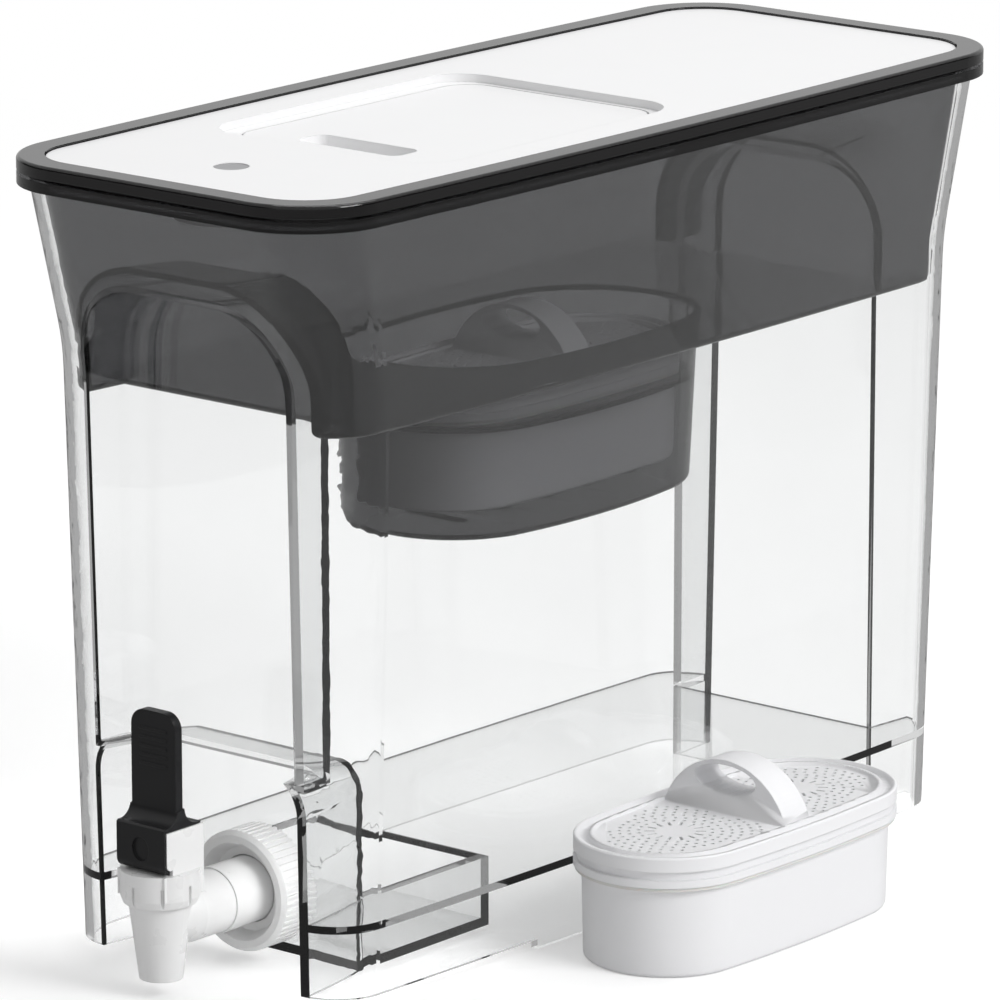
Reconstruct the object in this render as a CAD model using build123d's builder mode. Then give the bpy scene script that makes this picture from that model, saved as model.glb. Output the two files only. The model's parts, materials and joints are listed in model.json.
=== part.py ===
"""Gravity water filter: clear tank with a tap, smoke reservoir, lid with a fill door, two cartridges.

Millimetres, +Z up.  X is the width, Y the length with the tap towards -Y.  The origin is on the
surface that the tank stands on, under the middle of the tank.
"""

import os
from math import cos, hypot, radians, sin, tan

from build123d import *

os.makedirs("parts", exist_ok=True)

# ---------------------------------------------------------------- driving dimensions
# tank shell
tank_height = 259.0         # rim of the clear tank
base_half_width = 63.5      # half width at mid length, on the table
base_half_length = 161.6
side_bow = 3.0              # the long walls bulge by this much
base_corner = 18.0          # plan corner radius on the table
corner_growth = 8.0         # and how much larger it is at the rim
side_draft = 1.42           # degrees
end_draft = 1.5             # degrees
flare_start = 196.0         # the end walls lean out above this level
flare_blend = 16.0
flare_slope = 0.232
tank_wall = 2.6

# tank base
floor_top = 27.7
floor_thickness = 2.7
foot_lift = 3.3             # the skirt under the tap stands this much clear of the table
rear_foot = -66.0           # the lower rear foot starts here
sump_half_width = 36.0
sump_rear = -66.0
sump_floor = 6.0

# arched recesses in the two end walls, and the tap pocket below the front one
recess_depth = 11.6         # front panel, in from the end of the base
recess_half_width = 41.3
recess_top = 226.5
recess_corner = 24.0
recess_ledge = 74.0
recess_widening = 0.085     # growth of the recess per millimetre towards its mouth
rear_recess_depth = 19.1
pocket_depth = 32.6
pocket_half_width = 37.5
pocket_top = 71.0
pocket_corner = 8.0
pocket_widening = 0.165
mouth_margin = 43.4         # from the end of the base to beyond the flared walls

# tap
tap_reach = 52.0            # its axis is this far in front of the pocket panel
tap_level = 25.8            # axis of the shank
nozzle_bottom = 6.0
nozzle_radius = 7.15
nozzle_bore = 5.0
nozzle_bore_length = 10.5
cone_top = 32.0
cone_radius = 10.45
throat_radius = 3.6
seat_level = 19.0
chamber_radius = 7.2
neck_radius = 11.2          # body neck inside the bonnet
neck_top = 40.5
shank_start_radius = 9.2
shank_radius = 10.6
shank_step_reach = 27.0     # step in the shank, in front of the pocket panel
shank_step_radius = 11.1
shank_bore = 6.5
bonnet_radius = 13.0
bonnet_fit = 0.05
bonnet_deck = 2.6
bonnet_box_bottom = 34.5
bonnet_half_width = 10.2
bonnet_lip = 9.2            # the deck reaches this far in front of the axis
bonnet_rear = 9.8
ear_front = 7.9
ear_top = 57.7
ear_thickness = 1.3
slot_count = 8
slot_width = 1.0
slot_height = 7.0

# tap lever, hinged on a pin low in the front of the ears
pin_forward = 6.0           # pin in front of the stem
pin_rise = 3.8              # pin above the deck
pin_radius = 1.2
pin_fit = 0.03
pin_half_length = 9.6
lever_gap = 0.4             # to the deck below and to the ears
lever_front_plate = 1.15
lever_ear_gap = 0.3
lever_plate_rise = 1.4
wrap_end = 70.0             # degrees that the front plate follows round below the pin
paddle_lead = 2.7           # front of the paddle ahead of the tap axis
paddle_half_width = 9.4
paddle_thickness = 3.4
paddle_top = 95.7
paddle_corner = 5.5
foot_radius = 5.0
grip_bars = 5
lift_bar_drop = 1.5         # bars that lift the stem head, below the pin
lift_bar_radius = 1.1
pocket_clearance = 0.6

# tap stem and seals
stem_radius = 2.4
stem_fit = 0.1
stem_neck = 1.5
stem_head_radius = 3.2
stem_head_thickness = 1.6
plug_radius = 5.4
plug_height = 4.5
seat_gap = 0.05

# tap nut
nut_radius = 20.3
nut_depth = 14.6            # front of the nut ahead of the pocket panel
nut_recess_radius = 16.5
nut_recess_depth = 5.0
nut_web = 2.2
nut_ribs = 54
nut_rib_depth = 0.7
nut_fit = 0.3
flange_radius = 15.2
flange_thickness = 1.8
gasket_thickness = 1.5
neck_port_radius = 16.4     # neck moulded on the tank
neck_depth = 4.0
port_radius = 9.0

# smoke reservoir
reservoir_gap = 1.8         # between reservoir and tank walls
reservoir_wall = 2.2
reservoir_floor = 2.3
reservoir_bottom = 188.5
reservoir_edge = 3.0        # rounding of the lower edges
notch_gap = 6.5             # between the recess surface and the notch round it
flange_height = 3.6
rim_overhang = 4.0          # flange and lid stand this much proud of the tank rim
well_bottom = 131.3
well_half_length = 70.2
well_half_width = 38.2
well_end_radius = 35.5
well_growth = 2.8           # the well is this much larger all round where it meets the floor
well_wall = 2.2
well_ledge = 170.0
ledge_thickness = 2.0
ledge_fit = 0.6             # between the cup and the ledge

# filter cartridge
cartridge_half_length = 68.3
cartridge_half_width = 32.0
cartridge_end_radius = 30.6
cup_bottom_inset = 3.4
cup_flange_level = 31.5
cup_flange_inset = 2.7
cup_flange_thickness = 2.6
cup_groove = 2.8
cup_groove_inset = 1.2
cup_edge = 1.6
cup_wall = 1.8
cap_height = 4.9
cap_bevel = 0.5
cap_rim = 1.6               # outer rim, then a moat, then a ridge round the sunk plate
moat_width = 3.6
moat_depth = 1.6
ridge_width = 1.4
cap_dish = 0.8
cap_plate = 1.6
handle_half_span = 25.0
handle_rise = 17.4
handle_half_depth = 6.6
window_half_width = 12.8
window_half_height = 5.0
window_centre = 10.8
seal_thickness = 1.2
seal_inset = 0.5
seal_fit = 0.05
media_gap = 0.3
media_headroom = 1.0
screen_thickness = 0.6
spare_gap = 3.3             # between the widest lines of the spare cartridge and the base
spare_y = -5.4

# lid
lid_gap = 1.0
lid_height = 4.4
lid_band = 9.0
lid_edge = 1.2
panel_sink = 0.8
panel_thickness = 2.4
panel_fit = 0.4
lid_skirt_fit = 0.4
lid_skirt_wall = 1.8
lid_skirt_depth = 3.0

# fill door in its sunk tray
tray_half_width = 49.0
tray_front = -103.3
tray_rear = 26.3
tray_corner = 15.0
tray_depth = 2.8
tray_wall = 2.0
door_half_width = 42.3
door_front = -96.6
door_rear = 23.4
door_corner = 11.0
door_thickness = 2.6
door_gap = 0.8
door_seat = 3.5             # the door rests on a seat this wide
seat_wall = 2.0
trunnion_radius = 1.0
trunnion_reach = 1.4
trunnion_fit = 0.05
scoop_half_width = 21.5
scoop_front = -88.3
scoop_rear = -74.8
scoop_depth = 5.0
scoop_wall = 1.6
scoop_corner = 4.0

# timer under the lid panel
button_y = -143.5
button_radius = 5.7
button_fit = 0.1
button_travel = 0.8
timer_radius = 17.0
timer_wall = 1.6
timer_depth = 13.0
board_thickness = 1.2
cell_radius = 10.0
cell_thickness = 3.2

# ---------------------------------------------------------------- sizes worked out from those
floor_under = floor_top - floor_thickness
flange_top = tank_height + flange_height
lid_bottom = flange_top + lid_gap
lid_top = lid_bottom + lid_height
panel_top = lid_top - panel_sink
panel_bottom = panel_top - panel_thickness
recess_panel = base_half_length - recess_depth
rear_panel = base_half_length - rear_recess_depth
pocket_panel = base_half_length - pocket_depth
mouth = base_half_length + mouth_margin
tap_axis_y = -(pocket_panel + tap_reach)
shank_step = pocket_panel + shank_step_reach
nut_front = pocket_panel + nut_depth
spare_x = base_half_width + cartridge_half_width + spare_gap
port_face = pocket_panel + neck_depth
gasket_face = port_face + gasket_thickness
flange_face = gasket_face + flange_thickness
deck_top = neck_top + bonnet_deck
pin_y = tap_axis_y - pin_forward
pin_z = deck_top + pin_rise
lever_reach = pin_rise - lever_gap      # the lever's lower front edge is round about the pin
lever_front = pin_y - lever_reach
lever_bottom = pin_z - lever_reach
lever_half_width = bonnet_half_width - ear_thickness - lever_ear_gap
cap_bottom = cup_flange_level + cup_flange_thickness + cup_groove
cap_top = cap_bottom + cap_height
cartridge_level = well_ledge + seal_thickness - cup_flange_level


# ---------------------------------------------------------------- outlines
def bowed_outline(half_width, half_length, corner):
    """Rounded plan with straight ends and long sides that bulge by side_bow."""
    edge = half_width - side_bow
    with BuildLine() as path:
        ThreePointArc((edge, -half_length), (half_width, 0), (edge, half_length))
        Line((edge, half_length), (-edge, half_length))
        ThreePointArc((-edge, half_length), (-half_width, 0), (-edge, -half_length))
        Line((-edge, -half_length), (edge, -half_length))
    outline = make_face(path.edges())
    fillet(outline.vertices(), corner)


def oval(half_length, half_width, end_radius, mode=Mode.ADD):
    """Four-arc oval, long along Y: end arcs of end_radius, side arcs tangent to them."""
    end_centre = half_length - end_radius
    side_radius = (half_width**2 + end_centre**2 - end_radius**2) / (2 * (half_width - end_radius))
    side_centre = half_width - side_radius
    reach = hypot(side_centre, end_centre)
    x = -end_radius * side_centre / reach
    y = end_centre + end_radius * end_centre / reach
    with BuildLine() as path:
        ThreePointArc((x, y), (0, half_length), (-x, y))
        ThreePointArc((-x, y), (-half_width, 0), (-x, -y))
        ThreePointArc((-x, -y), (0, -half_length), (x, -y))
        ThreePointArc((x, -y), (half_width, 0), (x, y))
    make_face(path.edges(), mode=mode)


def cartridge_oval(inset, mode=Mode.ADD):
    """The cartridge's outline, drawn in by an even inset."""
    oval(cartridge_half_length - inset, cartridge_half_width - inset, cartridge_end_radius - inset, mode)


def arch(half_width, bottom, top, corner):
    """Doorway outline: straight sides from bottom, rounded at the two top corners."""
    with BuildLine() as path:
        Polyline(
            (-half_width, bottom), (half_width, bottom), (half_width, top), (-half_width, top), close=True,
        )
    doorway = make_face(path.edges())
    fillet(doorway.vertices().group_by(Axis.Y)[-1], corner)


def end_recess(side, panel, half_width, bottom, top, corner, widening, grow, mode):
    """Arched recess in an end wall: side is 1 at the front and -1 at the rear."""
    sections = []
    for distance in (panel - grow, mouth):
        spread = widening * (distance - panel) + grow
        with BuildSketch(Plane.XZ.offset(side * distance)) as section:
            arch(half_width + spread, bottom, top + spread, corner + spread)
        sections.append(section.sketch)
    loft(sections, ruled=True, mode=mode)


def front_recess(bottom, grow=0.0, mode=Mode.SUBTRACT):
    end_recess(
        1, recess_panel, recess_half_width, bottom, recess_top, recess_corner, recess_widening, grow, mode,
    )


def rear_recess(bottom, grow=0.0, mode=Mode.SUBTRACT):
    end_recess(
        -1, rear_panel, recess_half_width, bottom, recess_top, recess_corner, recess_widening, grow, mode,
    )


def tap_pocket(bottom, grow=0.0, mode=Mode.SUBTRACT):
    end_recess(
        1, pocket_panel, pocket_half_width, bottom, pocket_top, pocket_corner, pocket_widening, grow, mode,
    )


def wall_plan(level, inset):
    """Half width, half length and corner radius of the tank's outer face at a level, less an inset."""
    lean = max(level - flare_start, 0.0)
    if lean < flare_blend:
        flare = flare_slope * lean**2 / (2 * flare_blend)
    else:
        flare = flare_slope * (lean - flare_blend / 2)
    return (
        base_half_width + level * tan(radians(side_draft)) - inset,
        base_half_length + level * tan(radians(end_draft)) + flare - inset,
        base_corner + corner_growth * level / tank_height - inset,
    )


def wall_volume(bottom, top, inset, mode=Mode.ADD):
    """Solid inside the tank's wall line between two levels."""
    blend_end = flare_start + flare_blend
    start = max(bottom, flare_start)
    stretches = []
    if bottom < flare_start:
        stretches.append([bottom, min(top, flare_start)])
    if top > flare_start:
        stretches.append([start, (start + blend_end) / 2, blend_end])
        stretches.append([blend_end, top])
    for levels in stretches:
        sections = []
        for level in levels:
            with BuildSketch(Plane.XY.offset(level)) as section:
                bowed_outline(*wall_plan(level, inset))
            sections.append(section.sketch)
        loft(sections, ruled=len(levels) == 2, mode=mode)


# ---------------------------------------------------------------- tank
with BuildPart() as tank_inside:
    wall_volume(floor_top, tank_height + 2, tank_wall)
    front_recess(recess_ledge - tank_wall, tank_wall)
    tap_pocket(0, tank_wall)
    rear_recess(0, tank_wall)

with BuildPart() as tank_underside:
    wall_volume(-1, floor_under, tank_wall)
    tap_pocket(-2, tank_wall)
    rear_recess(-2, tank_wall)
    with BuildSketch(Plane.XY.offset(foot_lift)):
        with Locations((0, (sump_rear + tank_wall - pocket_panel) / 2)):
            Rectangle(2 * (sump_half_width + tank_wall), pocket_panel + sump_rear + tank_wall)
    extrude(amount=floor_top, mode=Mode.SUBTRACT)

with BuildPart() as tank:
    wall_volume(0, tank_height, 0)
    front_recess(recess_ledge)
    tap_pocket(-1)
    rear_recess(-1)
    add(tank_inside.part, mode=Mode.SUBTRACT)
    add(tank_underside.part, mode=Mode.SUBTRACT)
    # sump behind the tap pocket, so that the last water reaches the port
    sump_length = pocket_panel - tank_wall + sump_rear
    with BuildSketch(Plane.XY.offset(sump_floor)):
        with Locations((0, sump_rear - sump_length / 2)):
            Rectangle(2 * sump_half_width, sump_length)
    extrude(amount=floor_top - sump_floor + 1, mode=Mode.SUBTRACT)
    # the front skirt is cut back from the table
    with BuildSketch(Plane.XY.offset(-1)):
        with Locations((0, (rear_foot - mouth) / 2)):
            Rectangle(2 * mouth, mouth + rear_foot)
    extrude(amount=foot_lift + 1, mode=Mode.SUBTRACT)
    # neck for the tap
    with BuildSketch(Plane.XZ.offset(pocket_panel - tank_wall / 2)):
        with Locations((0, tap_level)):
            Circle(neck_port_radius)
    extrude(amount=port_face - pocket_panel + tank_wall / 2)
    with BuildSketch(Plane.XZ.offset(port_face)):
        with Locations((0, tap_level)):
            Circle(port_radius)
    extrude(amount=-(port_face - pocket_panel + tank_wall + 1), mode=Mode.SUBTRACT)
tank.part.label = "tank"
export_step(tank.part, "parts/tank.step")

# ---------------------------------------------------------------- tap body
shank_plane = Plane(origin=(0, 0, tap_level), x_dir=(0, 1, 0), z_dir=(1, 0, 0))
with BuildPart() as tap_body:
    with BuildSketch(Plane(origin=(0, tap_axis_y, 0), x_dir=(1, 0, 0), z_dir=(0, -1, 0))):
        with BuildLine():
            Polyline(
                (0, nozzle_bottom), (nozzle_radius, nozzle_bottom), (cone_radius, cone_top),
                (neck_radius, cone_top), (neck_radius, neck_top), (0, neck_top), close=True,
            )
        make_face()
    revolve(axis=Axis((0, tap_axis_y, 0), (0, 0, 1)))
    with BuildSketch(shank_plane):
        with BuildLine():
            Polyline(
                (tap_axis_y + 2, 0), (tap_axis_y + 2, shank_start_radius), (tap_axis_y + 11, shank_radius),
                (-shank_step, shank_radius), (-shank_step, shank_step_radius),
                (-flange_face, shank_step_radius), (-flange_face, flange_radius),
                (-gasket_face, flange_radius), (-gasket_face, 0), close=True,
            )
        make_face()
    revolve(axis=Axis((0, 0, tap_level), (0, 1, 0)))
    with BuildSketch(Plane(origin=(0, tap_axis_y, 0), x_dir=(1, 0, 0), z_dir=(0, -1, 0))):
        with BuildLine():
            Polyline(
                (0, nozzle_bottom - 1), (nozzle_bore, nozzle_bottom - 1),
                (nozzle_bore, nozzle_bottom + nozzle_bore_length),
                (throat_radius, nozzle_bottom + nozzle_bore_length + 1), (throat_radius, seat_level),
                (chamber_radius, seat_level), (chamber_radius, neck_top + 1), (0, neck_top + 1), close=True,
            )
        make_face()
    revolve(axis=Axis((0, tap_axis_y, 0), (0, 0, 1)), mode=Mode.SUBTRACT)
    with BuildSketch(Plane.XZ.offset(gasket_face - 1)):
        with Locations((0, tap_level)):
            Circle(shank_bore)
    extrude(amount=-tap_axis_y - gasket_face + 1, mode=Mode.SUBTRACT)
tap_body.part.label = "tap_body"
export_step(tap_body.part, "parts/tap_body.step")

# ---------------------------------------------------------------- tap bonnet
with BuildPart() as tap_bonnet:
    with BuildSketch(Plane.XY.offset(cone_top)):
        with Locations((0, tap_axis_y)):
            Circle(bonnet_radius - 0.9)
    with BuildSketch(Plane.XY.offset(bonnet_box_bottom)):
        with Locations((0, tap_axis_y)):
            Circle(bonnet_radius)
    loft()
    with BuildSketch(Plane.XY.offset(bonnet_box_bottom)):
        with Locations((0, tap_axis_y)):
            Circle(bonnet_radius)
    extrude(amount=deck_top - bonnet_box_bottom)
    with BuildSketch(Plane.YZ):
        with BuildLine():
            Polyline(
                (tap_axis_y - bonnet_lip, bonnet_box_bottom), (tap_axis_y - bonnet_lip, deck_top),
                (tap_axis_y - ear_front, deck_top), (tap_axis_y - ear_front, ear_top),
                (tap_axis_y + bonnet_rear, ear_top), (tap_axis_y + bonnet_rear, bonnet_box_bottom), close=True,
            )
        make_face()
    extrude(amount=bonnet_half_width, both=True)
    # channel between the ears
    with BuildSketch(Plane.XY.offset(deck_top)):
        with Locations((0, tap_axis_y)):
            Rectangle(2 * (bonnet_half_width - ear_thickness), 4 * bonnet_rear)
    extrude(amount=ear_top, mode=Mode.SUBTRACT)
    # room under the pin for the lever's front edge to swing through
    with BuildSketch(Plane.YZ):
        with Locations((pin_y - 1.2, pin_z - pin_rise / 2)):
            Rectangle(4.0, pin_rise)
        with Locations((pin_y, pin_z)):
            Circle(ear_front - pin_forward, mode=Mode.SUBTRACT)
    extrude(amount=bonnet_half_width + 1, both=True, mode=Mode.SUBTRACT)
    # blind holes for the lever pin
    with BuildSketch(Plane.YZ):
        with Locations((pin_y, pin_z)):
            Circle(pin_radius + pin_fit)
    extrude(amount=pin_half_length + pin_fit, both=True, mode=Mode.SUBTRACT)
    # socket for the body neck, stem hole and the clearance round the shank
    with BuildSketch(Plane.XY.offset(cone_top - 1)):
        with Locations((0, tap_axis_y)):
            Circle(neck_radius + bonnet_fit)
    extrude(amount=neck_top - cone_top + 1, mode=Mode.SUBTRACT)
    with BuildSketch(Plane.XY.offset(neck_top - 1)):
        with Locations((0, tap_axis_y)):
            Circle(stem_radius + stem_fit)
    extrude(amount=bonnet_deck + 2, mode=Mode.SUBTRACT)
    with BuildSketch(Plane.XZ.offset(-tap_axis_y)):
        with Locations((0, tap_level)):
            Circle(shank_radius + nut_fit)
    extrude(amount=-2 * bonnet_radius, mode=Mode.SUBTRACT)
    # wrench slots round the collar
    with BuildSketch(Plane.XY.offset(cone_top)):
        with Locations((0, tap_axis_y)):
            with PolarLocations(bonnet_radius, slot_count, start_angle=-90):
                Rectangle(1.6, slot_width)
    extrude(amount=slot_height, mode=Mode.SUBTRACT)
tap_bonnet.part.label = "tap_bonnet"
export_step(tap_bonnet.part, "parts/tap_bonnet.step")

# ---------------------------------------------------------------- tap lever
plate_under = ear_top + lever_ear_gap
plate_top = plate_under + lever_plate_rise
wrap_inner = lever_front + lever_front_plate
wrap_radius = pin_y - wrap_inner
foot_front = tap_axis_y - paddle_lead
foot_rear = foot_front + paddle_thickness


def about_pin(radius, angle):
    """Point of the lever's side view, at an angle below the front of the pin."""
    return (pin_y - radius * cos(radians(angle)), pin_z - radius * sin(radians(angle)))


with BuildPart() as tap_lever:
    # shell in front of the ears, over them and up into the paddle's foot
    with BuildSketch(Plane.YZ):
        with BuildLine():
            Line((lever_front, pin_z), (lever_front, plate_top - 0.6))
            Line((lever_front, plate_top - 0.6), (lever_front + 0.8, plate_top))
            ThreePointArc(
                (lever_front + 0.8, plate_top), (foot_front - 1.9, plate_top + 1.0),
                (foot_front, plate_top + foot_radius - 1),
            )
            Line((foot_front, plate_top + foot_radius - 1), (foot_rear, plate_top + foot_radius))
            ThreePointArc(
                (foot_rear, plate_top + foot_radius), (foot_rear + 1.6, plate_top + 1.2),
                (tap_axis_y + bonnet_rear - 1.5, plate_under + 0.7),
            )
            Polyline(
                (tap_axis_y + bonnet_rear - 1.5, plate_under + 0.7),
                (tap_axis_y + bonnet_rear - 1.5, plate_under), (wrap_inner, plate_under), (wrap_inner, pin_z),
            )
            ThreePointArc(
                (wrap_inner, pin_z), about_pin(wrap_radius, wrap_end / 2), about_pin(wrap_radius, wrap_end),
            )
            Line(about_pin(wrap_radius, wrap_end), about_pin(lever_reach, wrap_end))
            ThreePointArc(
                about_pin(lever_reach, wrap_end), about_pin(lever_reach, wrap_end / 2), (lever_front, pin_z),
            )
        make_face()
    extrude(amount=bonnet_half_width, both=True)
    # block between the ears
    with BuildSketch(Plane.YZ):
        with BuildLine():
            block_rear = tap_axis_y + bonnet_rear - 2.5
            ThreePointArc((lever_front, pin_z), about_pin(lever_reach, 45), (pin_y, lever_bottom))
            Polyline((pin_y, lever_bottom), (block_rear, lever_bottom + 1), (block_rear, plate_under + 0.2),
                     (lever_front, plate_under + 0.2), (lever_front, pin_z))
        make_face()
    extrude(amount=lever_half_width, both=True)
    # upright paddle
    with BuildSketch(Plane.XZ.offset(-foot_front)):
        arch(paddle_half_width, plate_top + 1, paddle_top, paddle_corner)
    extrude(amount=-paddle_thickness)
    # grip bars on the paddle
    with BuildSketch(Plane.XZ.offset(-foot_front)):
        with Locations((0, paddle_top - paddle_corner - 6.5)):
            with GridLocations(1, 2.9, 1, grip_bars):
                RectangleRounded(1.25 * paddle_half_width, 1.0, 0.45)
    extrude(amount=0.35)
    # thumb dimple on the front
    with BuildSketch(Plane.XZ.offset(-lever_front)):
        with Locations((0, (lever_bottom + plate_under) / 2 + 0.5)):
            Ellipse(3.5, 4.0)
    extrude(amount=-0.8, mode=Mode.SUBTRACT)
    # pocket that takes the stem head, open at the rear, with the two bars that lift it
    pocket_half = stem_head_radius + pocket_clearance
    with BuildSketch(Plane.YZ):
        with Locations((pin_y + 2.2, lever_bottom - 1)):
            Rectangle(2 * bonnet_rear, pin_rise + 3.6, align=(Align.MIN, Align.MIN))
    extrude(amount=pocket_half, both=True, mode=Mode.SUBTRACT)
    with BuildSketch(Plane.YZ):
        with Locations((tap_axis_y, pin_z - lift_bar_drop)):
            Circle(lift_bar_radius)
    extrude(amount=pocket_half + 0.2, both=True)
    with BuildSketch(Plane.YZ):
        with Locations((tap_axis_y, pin_z - lift_bar_drop)):
            Circle(lift_bar_radius + 0.5)
    extrude(amount=stem_neck + 0.4, both=True, mode=Mode.SUBTRACT)
    with BuildSketch(Plane.YZ):
        with Locations((pin_y, pin_z)):
            Circle(pin_radius + pin_fit)
    extrude(amount=bonnet_half_width, both=True, mode=Mode.SUBTRACT)
tap_lever.part.label = "tap_lever"
export_step(tap_lever.part, "parts/tap_lever.step")

# ---------------------------------------------------------------- lever pin
with BuildPart() as lever_pin:
    with BuildSketch(Plane.YZ):
        with Locations((pin_y, pin_z)):
            Circle(pin_radius)
    extrude(amount=pin_half_length, both=True)
lever_pin.part.label = "lever_pin"
export_step(lever_pin.part, "parts/lever_pin.step")

# ---------------------------------------------------------------- stem, seat plug and washer
washer_bottom = neck_top - 1.8
plug_bottom = seat_level + seat_gap
head_bottom = pin_z - lift_bar_drop + lift_bar_radius + lever_gap
axis_plane = Plane(origin=(0, tap_axis_y, 0), x_dir=(1, 0, 0), z_dir=(0, -1, 0))
axis_line = Axis((0, tap_axis_y, 0), (0, 0, 1))
with BuildPart() as tap_stem:
    with BuildSketch(axis_plane):
        with BuildLine():
            Polyline(
                (0, plug_bottom + 1.5), (stem_radius, plug_bottom + 1.5), (stem_radius, deck_top - 2),
                (stem_neck, deck_top - 2), (stem_neck, head_bottom), (stem_head_radius, head_bottom),
                (stem_head_radius, head_bottom + stem_head_thickness), (0, head_bottom + stem_head_thickness),
                close=True,
            )
        make_face()
    revolve(axis=axis_line)
tap_stem.part.label = "tap_stem"
export_step(tap_stem.part, "parts/tap_stem.step")

sleeve_radius = stem_radius + 1.4
with BuildPart() as seat_plug:
    with BuildSketch(axis_plane):
        with BuildLine():
            Polyline(
                (0, plug_bottom), (plug_radius, plug_bottom), (plug_radius, plug_bottom + plug_height),
                (sleeve_radius, plug_bottom + plug_height + 1.5), (sleeve_radius, plug_bottom + plug_height + 6),
                (stem_radius, plug_bottom + plug_height + 6), (stem_radius, plug_bottom + 1.5),
                (0, plug_bottom + 1.5), close=True,
            )
        make_face()
    revolve(axis=axis_line)
seat_plug.part.label = "seat_plug"
export_step(seat_plug.part, "parts/seat_plug.step")

with BuildPart() as stem_washer:
    with BuildSketch(Plane.XY.offset(washer_bottom)):
        with Locations((0, tap_axis_y)):
            Circle(chamber_radius)
            Circle(stem_radius + stem_fit, mode=Mode.SUBTRACT)
    extrude(amount=neck_top - washer_bottom)
stem_washer.part.label = "stem_washer"
export_step(stem_washer.part, "parts/stem_washer.step")

# ---------------------------------------------------------------- tap nut and gasket
nut_floor = nut_front - nut_recess_depth
nut_rear = pocket_panel + 0.6
with BuildPart() as tap_nut:
    with BuildSketch(shank_plane):
        with BuildLine():
            Polyline(
                (-nut_front, nut_recess_radius), (-nut_front, nut_radius - 1.4),
                (-nut_front + 1.4, nut_radius), (-nut_rear, nut_radius),
                (-nut_rear, neck_port_radius + nut_fit), (-flange_face, neck_port_radius + nut_fit),
                (-flange_face, shank_step_radius + nut_fit), (-flange_face - nut_web, shank_step_radius + nut_fit),
                (-nut_floor, nut_recess_radius - 2.4), close=True,
            )
        make_face()
    revolve(axis=Axis((0, 0, tap_level), (0, 1, 0)))
    with BuildSketch(Plane.XZ.offset(nut_rear - 1)):
        with Locations((0, tap_level)):
            with PolarLocations(nut_radius, nut_ribs):
                Rectangle(2 * nut_rib_depth, 1.3)
    extrude(amount=nut_front - nut_rear - 0.6, mode=Mode.SUBTRACT)
tap_nut.part.label = "tap_nut"
export_step(tap_nut.part, "parts/tap_nut.step")

with BuildPart() as tap_gasket:
    with BuildSketch(Plane.XZ.offset(port_face)):
        with Locations((0, tap_level)):
            Circle(flange_radius)
            Circle(port_radius, mode=Mode.SUBTRACT)
    extrude(amount=gasket_thickness)
tap_gasket.part.label = "tap_gasket"
export_step(tap_gasket.part, "parts/tap_gasket.step")

# ---------------------------------------------------------------- reservoir
reservoir_inset = tank_wall + reservoir_gap
rim_half_width, rim_half_length, rim_corner = wall_plan(tank_height, -rim_overhang)

with BuildPart() as reservoir_inside:
    wall_volume(reservoir_bottom + reservoir_floor, flange_top + 2, reservoir_inset + reservoir_wall)
    front_recess(0, notch_gap + reservoir_wall)
    rear_recess(0, notch_gap + reservoir_wall)

with BuildPart() as reservoir:
    wall_volume(reservoir_bottom, flange_top, reservoir_inset)
    front_recess(0, notch_gap)
    rear_recess(0, notch_gap)
    fillet(reservoir.edges().group_by(Axis.Z)[0], reservoir_edge)
    with BuildSketch(Plane.XY.offset(tank_height)):
        bowed_outline(rim_half_width, rim_half_length, rim_corner)
    extrude(amount=flange_height)
    # oval cartridge well
    for level, growth in ((well_bottom, 0.0), (reservoir_bottom + reservoir_floor, well_growth)):
        with BuildSketch(Plane.XY.offset(level)):
            oval(well_half_length + growth, well_half_width + growth, well_end_radius + growth)
    loft(ruled=True)
    fillet(reservoir.edges().group_by(Axis.Z)[0], reservoir_edge)
    add(reservoir_inside.part, mode=Mode.SUBTRACT)
    # well hollow: wide above the ledge, narrower below it
    well_height = reservoir_bottom + reservoir_floor - well_bottom
    for level in (well_ledge, reservoir_bottom + reservoir_floor + 1):
        growth = well_growth * (level - well_bottom) / well_height - well_wall
        with BuildSketch(Plane.XY.offset(level)):
            oval(well_half_length + growth, well_half_width + growth, well_end_radius + growth)
    loft(ruled=True, mode=Mode.SUBTRACT)
    for level in (well_bottom + well_wall, well_ledge - ledge_thickness):
        growth = well_growth * (level - well_bottom) / well_height - well_wall
        with BuildSketch(Plane.XY.offset(level)):
            oval(well_half_length + growth, well_half_width + growth, well_end_radius + growth)
    loft(ruled=True, mode=Mode.SUBTRACT)
    with BuildSketch(Plane.XY.offset(well_ledge - ledge_thickness - 1)):
        cartridge_oval(cup_flange_inset - ledge_fit)
    extrude(amount=ledge_thickness + 2, mode=Mode.SUBTRACT)
    # outlet slots in the well floor
    with BuildSketch(Plane.XY.offset(well_bottom - 1)):
        with GridLocations(0, 22, 1, 5):
            SlotOverall(26, 5)
    extrude(amount=well_wall + 2, mode=Mode.SUBTRACT)
reservoir.part.label = "reservoir"
export_step(reservoir.part, "parts/reservoir.step")

# ---------------------------------------------------------------- filter cartridges
plate_inset = cap_rim + moat_width + ridge_width
cavity_inset = cap_rim + moat_width / 2
media_inset = cup_bottom_inset + cup_wall + media_gap
media_level = cup_wall + screen_thickness
stations = {"cartridge": (0, 0, cartridge_level), "spare_cartridge": (spare_x, spare_y, 0)}

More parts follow.
